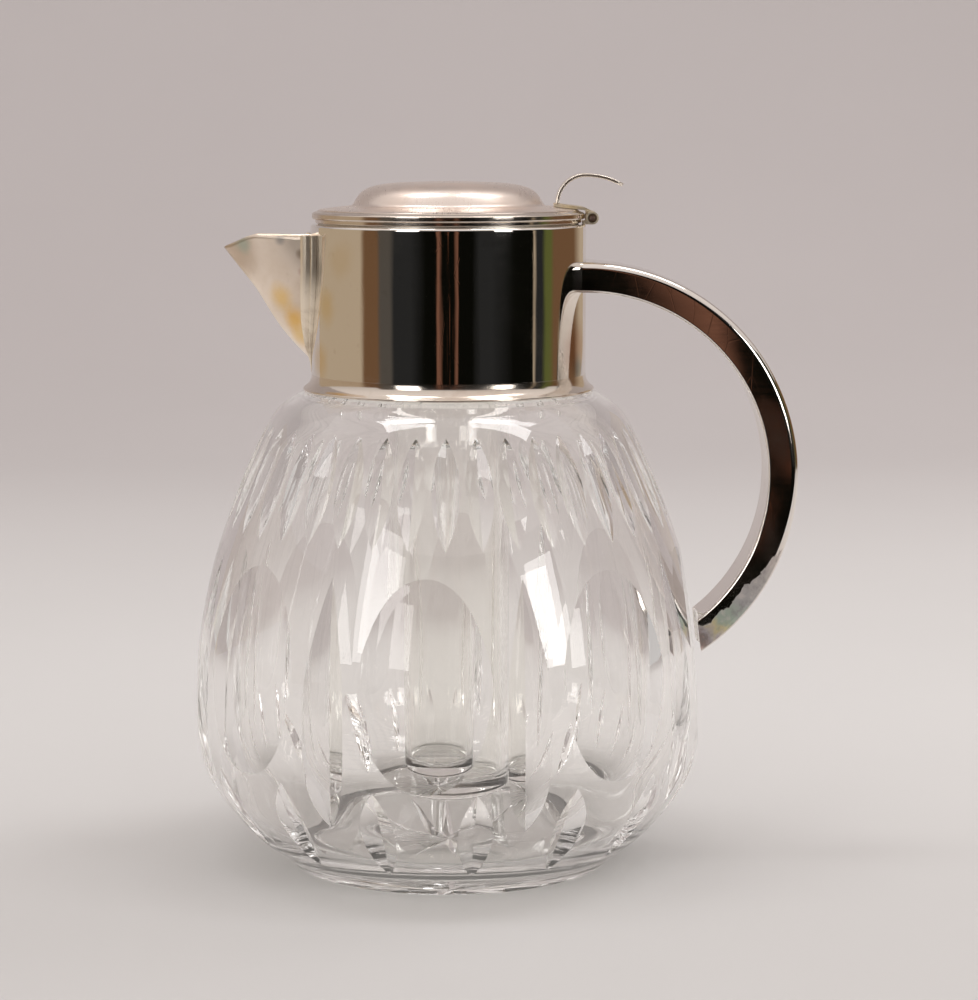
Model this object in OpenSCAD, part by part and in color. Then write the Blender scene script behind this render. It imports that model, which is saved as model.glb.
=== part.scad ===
// Lidded cut glass wine pitcher with a plated collar, hinged lid, pouring beak,
// C handle and a hanging glass ice insert.
// The jug axis is Z, the jug stands on z = 0, the beak points to -X and the handle to +X.

/* [Glass body] */
// Widest diameter of the glass body
body_d = 187; // [180:1:188]
// Wall thickness of the glass body
glass_wall = 7.5; // [6:0.5:9]
// Thickness of the glass floor over the foot
glass_floor = 9.6; // [8:0.2:14]
// Cut the pattern into the outside of the glass
cut_pattern = true; // [true, false]
// Number of tall oval windows round the belly
oval_count = 8; // [6:1:9]
// Radius of the curved face that hollows each oval
oval_hollow_r = 235; // [200:5:400]
// Number of short pointed cuts round the shoulder
shoulder_cut_count = 40; // [24:8:48]

/* [Collar] */
// Outer diameter of the plated collar
collar_d = 100; // [99:0.5:101]
// Thickness of the collar sheet
collar_wall = 1.2; // [1:0.1:1.4]
// Height of the top edge of the collar above the table
collar_top = 234.1; // [233:0.1:234.2]

/* [Lid] */
// Widest diameter of the lid
lid_d = 98.8; // [97:0.2:98.8]
// Height of the crown of the lid above the table
crown_z = 249.4; // [247:0.2:252]
// Thickness of the lid sheet
lid_sheet = 0.9; // [0.7:0.1:1.1]

/* [Handle] */
// Inner radius of the handle arc
handle_ri = 66.8; // [66:0.2:67.4]
// Thickness of the handle bar, measured in line with the arc's radius
handle_t = 10.9; // [9:0.1:11]
// Width of the handle bar, measured across the jug
handle_w = 27; // [22:1:28]

/* [Ice insert] */
// Outer diameter of the glass ice tube
tube_d = 44; // [40:1:44]
// Wall thickness of the glass ice tube
tube_wall = 3.2; // [2.5:0.1:4]
// Height of the underside of the ice tube above the table
tube_bottom = 22.5; // [18:0.5:40]

/* [Hidden] */
$fn = 120;
silver = [0.78, 0.76, 0.74];
e = 0.01;

kr = body_d / 187;               // radius factor for another body diameter
collar_r = collar_d / 2;
collar_ri = collar_r - collar_wall;
neck_r = 46.5;                   // outside of the glass neck inside the collar
neck_top = 190;                  // the neck ends under the spout opening
mouth_r = 40.5;                  // clear opening of the glass neck
hinge_x = 51.9;
hinge_z = 236.4;
barrel_r = 2.3;
pin_r = 0.95;

// A point on a smooth curve through four neighbours, at t from 0 to 1 between b and c.
function curve_pt(a, b, c, d, t) =
    0.5 * (2 * b + (c - a) * t + (2 * a - 5 * b + 4 * c - d) * t * t
           + (3 * b - a - 3 * c + d) * t * t * t);
// The same curve through a whole list, with n steps between neighbours.
function smooth(p, n) = [for (i = [0 : len(p) - 2]) for (k = [0 : n - 1])
    curve_pt(p[max(i - 1, 0)], p[i], p[i + 1], p[min(i + 2, len(p) - 1)], k / n)];
// Rectangle with its corners broken by arcs of radius r.
function round_rect(x0, y0, x1, y1, r, n = 3) = concat(
    [for (k = [0 : n]) [x1 - r + r * cos(90 * k / n), y1 - r + r * sin(90 * k / n)]],
    [for (k = [0 : n]) [x0 + r - r * sin(90 * k / n), y1 - r + r * cos(90 * k / n)]],
    [for (k = [0 : n]) [x0 + r - r * cos(90 * k / n), y0 + r - r * sin(90 * k / n)]],
    [for (k = [0 : n]) [x1 - r + r * sin(90 * k / n), y0 + r - r * cos(90 * k / n)]]);

// Outside of the body from the foot to the shoulder, as radius and height.
body_outer = [[59, 0], [64.5, 5.2], [72, 10.6], [79, 18], [85, 26], [89.5, 34], [92.2, 43],
              [93.4, 55], [93.3, 68], [92.3, 83], [89.5, 98], [85.5, 114], [80, 130],
              [74, 145], [67, 160], [62, 167.6], [55.5, 172.3]];
// Inside of the body, from the floor to the neck. The lowest part moves with the floor.
inner_line = [[48, 9.8], [55, 10.4], [61, 12], [67.5, 15.8], [74, 22], [79.6, 30], [83.6, 39.5], [86, 51],
              [86.2, 67], [85, 83], [82, 99], [77.5, 115], [71.5, 131], [64.8, 147.5], [58.8, 158.5],
              [52.5, 165.2], [47, 168.7], [43, 171.6]];
body_inner = [for (p = inner_line) [p[0], p[1] + (glass_floor - 9.6) * max(0, 1 - p[1] / 45)]];

module ring(r0, r1, z0, z1) {
    rotate_extrude() polygon([[r0, z0], [r1, z0], [r1, z1], [r0, z1]]);
}

// Stand a cutter's local frame on the glass: X points out of the wall at the angle a round
// the jug (0 = towards -Y, growing towards +X), and tilts back with the wall.
module at_wall(a, r, z, tilt) {
    rotate([0, 0, a - 90]) translate([r * kr, 0, z]) rotate([0, -tilt, 0]) children();
}

// Short pointed cut: two V grooves that meet depth deep and rise towards both tips.
module v_leaf(slope, depth, rise, half_len) {
    intersection_for(s = [-1, 1])
        translate([-depth, 0, 0]) rotate([0, s * rise, 0]) translate([0, 0, -half_len])
            linear_extrude(height = 2 * half_len)
                polygon([[0, 0], [5, 5 / tan(slope)], [5, -5 / tan(slope)]]);
}

// Tall oval: a wide shallow cylinder laid against the belly.
module oval_cut() {
    translate([oval_hollow_r - 4.0, 0, -70]) cylinder(r = oval_hollow_r, h = 140, $fn = 240);
}

// V groove with a straight bottom, in line with the wall.
module v_groove(slope, depth, half_len, reach = 9) {
    translate([-depth, 0, -half_len])
        linear_extrude(height = 2 * half_len)
            polygon([[0, 0], [reach, reach / tan(slope)], [reach, -reach / tan(slope)]]);
}

module glass_cuts() {
    for (k = [0 : oval_count - 1]) {
        at_wall(-4.5 + k * 360 / oval_count, 92.5, 80.6, 6.2) oval_cut();
        at_wall(18 + k * 360 / oval_count, 93, 74, 2) v_groove(32, 5.9, 62);
        for (s = [-1, 1])
            at_wall(-4.5 + s * 11.25 + k * 360 / oval_count, 84.94, 25.33, -31.4)
                v_groove(27, 3.5, 30);
    }
    for (k = [0 : shoulder_cut_count - 1])
        at_wall(k * 360 / shoulder_cut_count, 74.1, 144.6, 23.5) v_leaf(21.5, 2.0, 4, 30);
}

// Sixteen-ray star ground into the underside, deepest at its centre.
module star_cut() {
    for (k = [0 : 7]) rotate([0, 0, 22.5 * k + 4]) intersection_for(s = [-1, 1])
        translate([0, 0, 1.6 + 2.6]) rotate([0, s * 3.9, 0]) rotate([0, 90, 0])
            translate([0, 0, -45]) linear_extrude(height = 90)
                polygon([[0, 0], [9, 9 / tan(40)], [9, -9 / tan(40)]]);
}

module glass_body() {
    color([0.86, 0.9, 0.88, 0.35]) difference() {
        rotate_extrude() polygon(concat(
            [[0, 1.6], [50, 1.6], [51.5, 0]],
            [for (p = smooth(body_outer, 2)) [p[0] * kr, p[1]]],
            [[55.5 * kr, 172.3], [51, 173.9], [48, 174.4], [neck_r, 175.6], [neck_r, neck_top - 1],
             [neck_r - 1, neck_top], [mouth_r + 1, neck_top], [mouth_r, neck_top - 1],
             [mouth_r, 176]],
            [for (p = [for (i = [len(body_inner) - 1 : -1 : 0]) body_inner[i]])
                [p[0] * kr - (p[1] < 167 ? glass_wall - 7.5 : 0), p[1]]],
            [[0, glass_floor]]));
        if (cut_pattern) glass_cuts();
        if (cut_pattern) star_cut();
    }
}

module neck_cement() {
    color([0.85, 0.82, 0.74]) ring(neck_r + 0.02, collar_ri - 0.02, 176.5, neck_top - 1.5);
}

// Side view of the beak where it meets the collar: y across, z up.
module beak_outline(inset = 0) {
    polygon([[-16.5 + inset, 230], [-15.8 + inset, 219], [-13 + inset, 206],
             [-8.5 + inset * 0.8, 195], [-3.5, 188 + inset], [3.5, 188 + inset],
             [8.5 - inset * 0.8, 195], [13 - inset, 206], [15.8 - inset, 219],
             [16.5 - inset, 230]]);
}
module beak_prism(inset, x0, x1) {
    translate([x0, 0, 0]) rotate([90, 0, 90]) linear_extrude(height = x1 - x0)
        beak_outline(inset);
}

module collar_shell() {
    color(silver) difference() {
        ring(collar_ri, collar_r, 180, 231);
        beak_prism(4, -60, -30);
    }
}

// Flared foot of the collar, with a rolled edge on the glass shoulder.
module collar_foot_ring() {
    color(silver) rotate_extrude() polygon([
        [collar_ri, 180], [collar_r, 180], [collar_r + 0.15, 178.6], [collar_r + 0.6, 177.2],
        [collar_r + 1.5, 175.9], [collar_r + 2.6, 175.1], [collar_r + 3.05, 174.6],
        [collar_r + 2.9, 174.05], [collar_r + 2.3, 173.95], [collar_r + 1.2, 174.4],
        [collar_r - 0.2, 175.2], [collar_ri, 176.2]]);
}

// Turned-in top edge of the collar.
module collar_rim() {
    color(silver) rotate_extrude() polygon([
        [collar_ri, 231], [collar_r, 231], [collar_r, collar_top - 1.1], [collar_r - 0.1, collar_top - 0.6],
        [collar_r - 0.4, collar_top - 0.2], [collar_r - 0.9, collar_top], [48, collar_top],
        [47.6, collar_top - 0.4], [47.6, 232.8], [collar_ri, 231.6]]);
}

// Soldered ledge that the insert's flange sits on.
module insert_ledge() {
    color(silver) difference() {
        rotate_extrude() polygon([[44, 225.6], [44, 224.8], [47.8, 224.8], [47.8, 221.5],
                                  [collar_ri - 0.02, 221.5], [collar_ri - 0.02, 225.6]]);
        translate([-60, -14, 220]) cube([25, 28, 4.4]);
    }
}

// Pierced plate across the spout opening.
module spout_strainer() {
    color(silver) difference() {
        intersection() {
            ring(collar_ri + 0.2, collar_r - 0.2, 185, 231);
            beak_prism(4.05, -60, -30);
        }
        for (row = [0 : 5], col = [-2 : 2])
            translate([-60, col * 4.6 + (row % 2) * 2.3 - 1.15, 198 + row * 5])
                rotate([0, 90, 0]) cylinder(r = 1.3, h = 30, $fn = 24);
    }
}

// Open beak: two flat cheeks that run from the collar to the pouring tip.
module beak_solid(inset, tip_x, tip_z, top) {
    hull() {
        translate([-48, 0, 0]) rotate([90, 0, 90]) linear_extrude(height = 0.5)
            beak_outline(inset);
        translate([-56, 0, 189.4 + inset]) rotate([90, 0, 0])
            cylinder(r = 1.2, h = 5 - inset, center = true, $fn = 24);
        translate([tip_x, 0, tip_z]) sphere(r = 1.1, $fn = 24);
        translate([tip_x + 11, 0, top]) cube([1, 7 - inset, 0.02], center = true);
    }
}
module spout_shell() {
    color([0.86, 0.82, 0.72]) difference() {
        beak_solid(0, -79.3, 227.4, 230);
        translate([0.9, 0, 0.6]) beak_solid(1.1, -77.6, 228.2, 230.1);
        translate([-75, -20, 229.6]) cube([40, 40, 4]);
        cylinder(r = collar_r + 0.02, h = 260);
    }
}

// Moulded frame round the root of the beak: a low outer ridge and a high inner one that run
// down the collar, get lower and end in a point.
module frame_side(pts) {
    translate([-62, 0, 0]) rotate([90, 0, 90]) linear_extrude(height = 30) polygon(pts);
}
module spout_flange() {
    low = [[-19.5, 230.4], [-18.8, 219], [-15.5, 205], [-10, 192.5], [-1, 179.7],
           [1, 179.7], [10, 192.5], [15.5, 205], [18.8, 219], [19.5, 230.4]];
    high = [[-18.3, 230.4], [-17.9, 219], [-14.9, 205.2], [-9.9, 193.2], [-2.6, 183],
            [2.6, 183], [9.9, 193.2], [14.9, 205.2], [17.9, 219], [18.3, 230.4]];
    inside = [[-17, 232], [-16.8, 219], [-14.1, 205.6], [-9.6, 194.4], [-4.2, 186.2],
              [4.2, 186.2], [9.6, 194.4], [14.1, 205.6], [16.8, 219], [17, 232]];
    color(silver) difference() {
        union() {
            intersection() {
                rotate_extrude() polygon([
                    [collar_r + 0.03, 178], [collar_r + 0.5, 178], [collar_r + 1.3, 186],
                    [collar_r + 1.9, 196], [collar_r + 2, 230.4], [collar_r + 0.03, 230.4]]);
                frame_side(low);
            }
            intersection() {
                rotate_extrude() polygon([
                    [collar_r + 0.03, 181], [collar_r + 0.8, 181], [collar_r + 2, 188],
                    [collar_r + 3.2, 199], [collar_r + 3.9, 212], [collar_r + 4, 230.4],
                    [collar_r + 0.03, 230.4]]);
                frame_side(high);
            }
        }
        frame_side(inside);
    }
}

// Bar of the handle: an arc from the collar's back round to the glass.
module handle_bar(pts) {
    translate([49.3, 0, 143]) rotate([90, 0, 0]) rotate([0, 0, -62])
        rotate_extrude(angle = 154, $fn = 180) polygon(pts);
}
handle_ro = handle_ri + handle_t;
hw = handle_w / 2;
module handle_ends() {
    translate([0, 0, 150]) cylinder(r = collar_r + 0.02, h = 100, $fn = 240);
    translate([0, 0, 60]) cylinder(r1 = 95.38 * kr, r2 = 89.25 * kr, h = 52, $fn = 240);
}
module handle_shell() {
    color([0.55, 0.52, 0.5]) difference() {
        handle_bar(concat(
            [[handle_ri, -hw + 0.9], [handle_ri, -hw + 1.2], [handle_ro - 1.2, -hw + 1.2],
             [handle_ro - 1.2, hw - 1.2], [handle_ri, hw - 1.2], [handle_ri, hw - 0.9], [handle_ri + 0.9, hw]],
            [for (k = [0 : 5]) [handle_ro - 2.7 + 2.7 * sin(18 * k), hw - 2.7 + 2.7 * cos(18 * k)]],
            [for (k = [0 : 5]) [handle_ro - 2.7 + 2.7 * cos(18 * k), -hw + 2.7 - 2.7 * sin(18 * k)]],
            [[handle_ri + 0.9, -hw]]));
        handle_ends();
    }
}
module handle_inner_strip() {
    color([0.8, 0.78, 0.74]) difference() {
        handle_bar([[handle_ri, -hw + 1.25], [handle_ri + 1, -hw + 1.25],
                    [handle_ri + 1, hw - 1.25], [handle_ri, hw - 1.25]]);
        handle_ends();
    }
}
module handle_end_cap() {
    color([0.55, 0.52, 0.5]) intersection() {
        handle_bar([[handle_ri + 1.05, -hw + 1.25], [handle_ro - 1.25, -hw + 1.25],
                    [handle_ro - 1.25, hw - 1.25], [handle_ri + 1.05, hw - 1.25]]);
        rotate_extrude() polygon([[95.4 * kr, 60], [96.5 * kr, 60], [90.37 * kr, 112], [89.27 * kr, 112]]);
    }
}

// Plate on the collar's top edge with the two outer knuckles.
module collar_hinge_leaf() {
    color(silver) difference() {
        union() {
            translate([48.7, -9, collar_top + 0.05]) cube([3.2, 18, 1]);
            for (y = [-9, 3.3]) translate([hinge_x, y + 5.7, hinge_z]) rotate([90, 0, 0])
                cylinder(r = barrel_r, h = 5.7, $fn = 48);
        }
        translate([49.4, -3.3, 230]) cube([8, 6.6, 10]);
        translate([hinge_x, 10, hinge_z]) rotate([90, 0, 0]) cylinder(r = pin_r + 0.01, h = 20, $fn = 48);
    }
}
module hinge_pin() {
    color([0.86, 0.72, 0.66]) translate([hinge_x, 8.9, hinge_z]) rotate([90, 0, 0])
        cylinder(r = pin_r, h = 17.8, $fn = 48);
}

// Pillow-shaped sheet with a near-flat band round it.
lid_outer = [[0, crown_z], [10, crown_z - 0.1], [19, crown_z - 0.5], [25, crown_z - 1.2],
             [29, crown_z - 2.5], [32, crown_z - 4.5], [33.8, crown_z - 6.9], [34.8, 241],
             [36.5, 240.5], [47, 239.3]];
module lid_cover() {
    color([0.85, 0.78, 0.75]) rotate_extrude() polygon(concat(
        lid_outer,
        [[47, 239.3 - lid_sheet], [36.2, 240.5 - lid_sheet], [34, 240.9 - lid_sheet],
         [32.8, crown_z - 7.6], [31.2, crown_z - 5.3], [28.4, crown_z - 3.5],
         [24.8, crown_z - 2.2], [18.8, crown_z - 1.45], [10, crown_z - 0.1 - lid_sheet - 0.1],
         [0, crown_z - lid_sheet - 0.1]]));
}
lid_r = lid_d / 2;
module lid_rim() {
    color(silver) rotate_extrude() polygon([
        [47.02, 239.2], [47.5, 238.7], [48.6, 238.4], [lid_r - 0.2, 237.9], [lid_r, 237.4],
        [lid_r, 236.5], [lid_r - 0.5, 236], [48.2, 235.9], [48.2, 234.6], [46, 234.6],
        [46, 238.3], [47.02, 238.3]]);
}
module lid_skirt() {
    color(silver) ring(46.2, 47.1, 233, 234.6);
}
// Strap that is soldered on the lid and carries the middle knuckle.
module lid_hinge_leaf() {
    color(silver) difference() {
        union() {
            translate([0, 9, 0]) rotate([90, 0, 0]) linear_extrude(height = 18)
                polygon([[38.3, 240.5], [38.3, 241.5], [48.6, 240.3], [49.1, 239.9], [49.1, 239.2]]);
            translate([0, 3.1, 0]) rotate([90, 0, 0]) linear_extrude(height = 6.2)
                polygon([[48, 239.4], [48, 240.37], [49.6, 240], [51.4, 239.1], [hinge_x, hinge_z + barrel_r],
                         [hinge_x, hinge_z], [hinge_x - barrel_r, hinge_z], [49.8, 238.6], [49.2, 239.2]]);
            translate([hinge_x, 3.1, hinge_z]) rotate([90, 0, 0])
                cylinder(r = barrel_r, h = 6.2, $fn = 48);
        }
        translate([hinge_x, 10, hinge_z]) rotate([90, 0, 0]) cylinder(r = pin_r + 0.05, h = 20, $fn = 48);
    }
}
// Curled thumb strip that stands on the strap.
thumb_w = 13;
// Side view of the strip at distance d from its middle line: a tight curl, then a flat one.
function thumb_edge(d) = concat(
    [[38.9 + 0.45 - d, 241.46]],
    [for (k = [0 : 10]) [49.6 + (10.25 + d) * cos(180 - 9 * k), 241.6 + (10.25 + d) * sin(180 - 9 * k)]],
    [for (k = [1 : 5]) [49.6 + (26.9 + d) * cos(90 - 6.2 * k), 224.95 + (26.9 + d) * sin(90 - 6.2 * k)]]);
module thumbpiece() {
    color(silver) translate([0, thumb_w / 2, 0]) rotate([90, 0, 0]) linear_extrude(height = thumb_w)
        polygon(concat(thumb_edge(0.45), [for (q = [16 : -1 : 0]) thumb_edge(-0.8)[q]]));
}

tube_r = tube_d / 2;
module ice_insert() {
    color([0.88, 0.92, 0.9, 0.35]) rotate_extrude() polygon([
        [0, tube_bottom], [tube_r - 4, tube_bottom], [tube_r - 2, tube_bottom + 0.5],
        [tube_r - 0.5, tube_bottom + 2], [tube_r, tube_bottom + 4], [tube_r, 227.1],
        [26.5, 227.1], [27.3, 228], [27.3, 230.4], [26.6, 231.2], [tube_r - tube_wall + 0.6, 231.2],
        [tube_r - tube_wall, 230.6], [tube_r - tube_wall, tube_bottom + 12],
        [tube_r - tube_wall - 1.5, tube_bottom + 8.8], [tube_r - tube_wall - 5, tube_bottom + 7],
        [0, tube_bottom + 6.4]]);
}
module insert_flange() {
    color(silver) rotate_extrude() polygon([
        [22.75, 225.9], [46.4, 225.9], [46.8, 226.2], [46.8, 226.7], [46.4, 227], [22.75, 227]]);
}
module insert_ferrule() {
    color(silver) ring(22.75, 24, 212, 225.85);
}
module insert_cement() {
    color([0.85, 0.82, 0.74]) ring(tube_r + 0.02, 22.7, 212.5, 226.9);
}

glass_body();
neck_cement();
collar_shell();
collar_foot_ring();
collar_rim();
insert_ledge();
spout_strainer();
spout_shell();
spout_flange();
handle_shell();
handle_inner_strip();
handle_end_cap();
collar_hinge_leaf();
hinge_pin();
lid_cover();
lid_rim();
lid_skirt();
lid_hinge_leaf();
thumbpiece();
ice_insert();
insert_flange();
insert_ferrule();
insert_cement();
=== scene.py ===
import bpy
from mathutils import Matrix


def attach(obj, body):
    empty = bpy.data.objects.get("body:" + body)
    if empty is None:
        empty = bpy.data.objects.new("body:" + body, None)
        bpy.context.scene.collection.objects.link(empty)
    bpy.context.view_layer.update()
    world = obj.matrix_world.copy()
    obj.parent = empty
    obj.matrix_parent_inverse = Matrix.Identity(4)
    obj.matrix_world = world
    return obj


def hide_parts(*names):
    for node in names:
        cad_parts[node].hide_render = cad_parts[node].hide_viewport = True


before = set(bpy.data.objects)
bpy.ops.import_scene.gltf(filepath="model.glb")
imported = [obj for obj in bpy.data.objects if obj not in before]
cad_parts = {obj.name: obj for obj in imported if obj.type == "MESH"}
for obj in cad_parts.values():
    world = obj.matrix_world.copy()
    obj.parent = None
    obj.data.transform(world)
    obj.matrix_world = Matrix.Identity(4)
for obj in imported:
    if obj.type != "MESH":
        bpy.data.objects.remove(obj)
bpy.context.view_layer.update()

import math
import bpy
import bmesh
import numpy as np
from mathutils import Vector, Matrix, noise

MM = 0.001
scene = bpy.context.scene
COLL = scene.collection


# ---------------------------------------------------------------- camera
cam_data = bpy.data.cameras.new("camera")
cam = bpy.data.objects.new("camera", cam_data)
COLL.objects.link(cam)
cam_data.sensor_width = 36.0
cam_data.sensor_fit = "AUTO"
cam_data.lens = 98.12
cam_data.clip_start = 0.05
cam_data.clip_end = 30.0
cam.location = (0.014736, -0.99344, 0.26674)
cam.rotation_euler = (math.radians(90.0 - 7.67), 0.0, 0.0)
scene.camera = cam


# ---------------------------------------------------------------- mesh helpers
def new_object(name, verts, faces, scale=MM):
    mesh = bpy.data.meshes.new(name)
    mesh.from_pydata([(v[0] * scale, v[1] * scale, v[2] * scale) for v in verts], [], faces)
    mesh.validate()
    mesh.update()
    obj = bpy.data.objects.new(name, mesh)
    COLL.objects.link(obj)
    return obj


def fix_normals(obj):
    bm = bmesh.new()
    bm.from_mesh(obj.data)
    bmesh.ops.recalc_face_normals(bm, faces=bm.faces)
    bm.to_mesh(obj.data)
    bm.free()


def smooth_sharp(obj, angle=30.0):
    obj.data.shade_smooth()
    obj.data.set_sharp_from_angle(angle=math.radians(angle))
    wn = obj.modifiers.new("flat faces", "WEIGHTED_NORMAL")
    wn.mode = "FACE_AREA"
    wn.weight = 50
    wn.keep_sharp = True


def catmull(p, n):
    out = []
    for i in range(len(p) - 1):
        a, b, c, d = p[max(i - 1, 0)], p[i], p[i + 1], p[min(i + 2, len(p) - 1)]
        for k in range(n):
            t = k / n
            out.append(tuple(
                0.5 * (2 * b[j] + (c[j] - a[j]) * t + (2 * a[j] - 5 * b[j] + 4 * c[j] - d[j]) * t * t
                       + (3 * b[j] - a[j] - 3 * c[j] + d[j]) * t ** 3) for j in range(len(b))))
    out.append(tuple(p[-1]))
    return out


def rounded(points, radii, n=5):
    """Closed outline with its corners replaced by arcs."""
    out = []
    m = len(points)
    for i, p in enumerate(points):
        r = radii[i] if isinstance(radii, (list, tuple)) else radii
        p = Vector(p)
        a = (Vector(points[i - 1]) - p)
        b = (Vector(points[(i + 1) % m]) - p)
        if r <= 0:
            out.append(tuple(p))
            continue
        la, lb = a.length, b.length
        a.normalize(); b.normalize()
        half = math.acos(max(-1, min(1, a.dot(b)))) / 2
        cut = min(r / math.tan(half), 0.49 * la, 0.49 * lb) if half > 1e-4 else 0
        rr = cut * math.tan(half)
        centre = p + (a + b).normalized() * (rr / math.sin(half))
        s, e = p + a * cut - centre, p + b * cut - centre
        ang = s.angle(e)
        sgn = 1 if s.x * e.y - s.y * e.x > 0 else -1
        for k in range(n + 1):
            t = sgn * ang * k / n
            out.append((centre.x + s.x * math.cos(t) - s.y * math.sin(t),
                        centre.y + s.x * math.sin(t) + s.y * math.cos(t)))
    return out


def lathe(name, profile, seg=192, closed=True):
    """Turns an outline of (radius, height) points about Z. Points with radius 0 become poles."""
    verts, faces, rings = [], [], []
    for r, z in profile:
        if r < 1e-6:
            rings.append([len(verts)])
            verts.append((0, 0, z))
        else:
            rings.append(list(range(len(verts), len(verts) + seg)))
            verts += [(r * math.cos(2 * math.pi * k / seg), r * math.sin(2 * math.pi * k / seg), z)
                      for k in range(seg)]
    pairs = list(zip(rings, rings[1:]))
    if closed:
        pairs.append((rings[-1], rings[0]))
    for a, b in pairs:
        if len(a) == 1 and len(b) == 1:
            continue
        for k in range(seg):
            j = (k + 1) % seg
            if len(a) == 1:
                faces.append((a[0], b[k], b[j]))
            elif len(b) == 1:
                faces.append((a[k], b[0], a[j]))
            else:
                faces.append((a[k], b[k], b[j], a[j]))
    obj = new_object(name, verts, faces)
    fix_normals(obj)
    return obj


def cut(obj, cutters, op="DIFFERENCE"):
    """Applies a Boolean for each cutter, with the exact-manifold solver."""
    for c in cutters:
        mod = obj.modifiers.new("cut", "BOOLEAN")
        mod.operation = op
        mod.object = c
        mod.solver = "MANIFOLD"
        dg = bpy.context.evaluated_depsgraph_get()
        dg.update()
        mesh = bpy.data.meshes.new_from_object(obj.evaluated_get(dg), depsgraph=dg)
        old = obj.data
        obj.modifiers.clear()
        obj.data = mesh
        bpy.data.meshes.remove(old)
    for c in cutters:
        m = c.data
        bpy.data.objects.remove(c)
        bpy.data.meshes.remove(m)


# ---------------------------------------------------------------- node helpers
def material(name):
    m = bpy.data.materials.new(name)
    m.use_nodes = True
    nt = m.node_tree
    nt.nodes.clear()
    out = nt.nodes.new("ShaderNodeOutputMaterial")
    bsdf = nt.nodes.new("ShaderNodeBsdfPrincipled")
    nt.links.new(bsdf.outputs[0], out.inputs[0])
    return m, nt, bsdf


def N(nt, kind, **kw):
    n = nt.nodes.new(kind)
    for k, v in kw.items():
        if k in ("operation", "blend_type", "data_type", "noise_dimensions", "wave_type",
                 "bands_direction", "feature", "interpolation_type", "clamp", "vector_type",
                 "wave_profile", "distance"):
            setattr(n, k, v)
        else:
            n.inputs[k.replace("_", " ")].default_value = v
    return n


def coords(nt, scale=(1, 1, 1), loc=(0, 0, 0)):
    """Object coordinates in metres, scaled: they ride with the piece."""
    tc = nt.nodes.new("ShaderNodeTexCoord")
    mp = nt.nodes.new("ShaderNodeMapping")
    mp.inputs["Scale"].default_value = scale
    mp.inputs["Location"].default_value = loc
    nt.links.new(tc.outputs["Object"], mp.inputs["Vector"])
    return mp.outputs[0]


def noise_tex(nt, vec, scale, detail=4.0, rough=0.55, dist=0.0):
    n = nt.nodes.new("ShaderNodeTexNoise")
    n.inputs["Scale"].default_value = scale
    n.inputs["Detail"].default_value = detail
    n.inputs["Roughness"].default_value = rough
    n.inputs["Distortion"].default_value = dist
    nt.links.new(vec, n.inputs["Vector"])
    return n.outputs["Fac"]


def ramp(nt, fac, stops, interp="LINEAR"):
    n = nt.nodes.new("ShaderNodeValToRGB")
    cr = n.color_ramp
    cr.interpolation = interp
    while len(cr.elements) < len(stops):
        cr.elements.new(0.5)
    for e, (p, c) in zip(cr.elements, stops):
        e.position = p
        e.color = c if len(c) == 4 else (*c, 1.0)
    nt.links.new(fac, n.inputs["Fac"])
    return n.outputs["Color"]


def grey(v):
    return (v, v, v, 1.0)


def mix(nt, fac, a, b, mode="MIX"):
    n = nt.nodes.new("ShaderNodeMix")
    n.data_type = "RGBA"
    n.blend_type = mode
    for sock, v in ((n.inputs[0], fac), (n.inputs[6], a), (n.inputs[7], b)):
        if isinstance(v, (int, float)):
            sock.default_value = v
        elif isinstance(v, (tuple, list)):
            sock.default_value = v if len(v) == 4 else (*v, 1.0)
        else:
            nt.links.new(v, sock)
    return n.outputs[2]


def math_node(nt, op, a, b=0.0, c=0.0, clamp=False):
    n = nt.nodes.new("ShaderNodeMath")
    n.operation = op
    n.use_clamp = clamp
    for i, v in enumerate((a, b, c)):
        if isinstance(v, (int, float)):
            n.inputs[i].default_value = v
        else:
            nt.links.new(v, n.inputs[i])
    return n.outputs[0]


def map_range(nt, v, a, b, c, d, smooth=False):
    n = nt.nodes.new("ShaderNodeMapRange")
    n.interpolation_type = "SMOOTHSTEP" if smooth else "LINEAR"
    nt.links.new(v, n.inputs["Value"])
    for k, x in (("From Min", a), ("From Max", b), ("To Min", c), ("To Max", d)):
        n.inputs[k].default_value = x
    return n.outputs[0]


def bump(nt, bsdf, height, strength, distance):
    n = nt.nodes.new("ShaderNodeBump")
    n.inputs["Strength"].default_value = strength
    n.inputs["Distance"].default_value = distance
    nt.links.new(height, n.inputs["Height"])
    nt.links.new(n.outputs[0], bsdf.inputs["Normal"])
    return n


def spot(nt, centre_mm, radius_mm, soft=0.5, warp=0.0, warp_scale=60.0):
    """1 inside a ball round centre, falling to 0 at its edge, with a wobbling outline."""
    tc = nt.nodes.new("ShaderNodeTexCoord")
    src = tc.outputs["Object"]
    d = nt.nodes.new("ShaderNodeVectorMath")
    d.operation = "DISTANCE"
    nt.links.new(src, d.inputs[0])
    d.inputs[1].default_value = [c * MM for c in centre_mm]
    v = d.outputs["Value"]
    if warp:
        n = noise_tex(nt, src, warp_scale, 4.0, 0.6)
        v = math_node(nt, "ADD", v, math_node(nt, "MULTIPLY", math_node(nt, "SUBTRACT", n, 0.5), warp * MM))
    return map_range(nt, v, radius_mm * MM * (1 - soft), radius_mm * MM, 1.0, 0.0, smooth=True)


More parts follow.
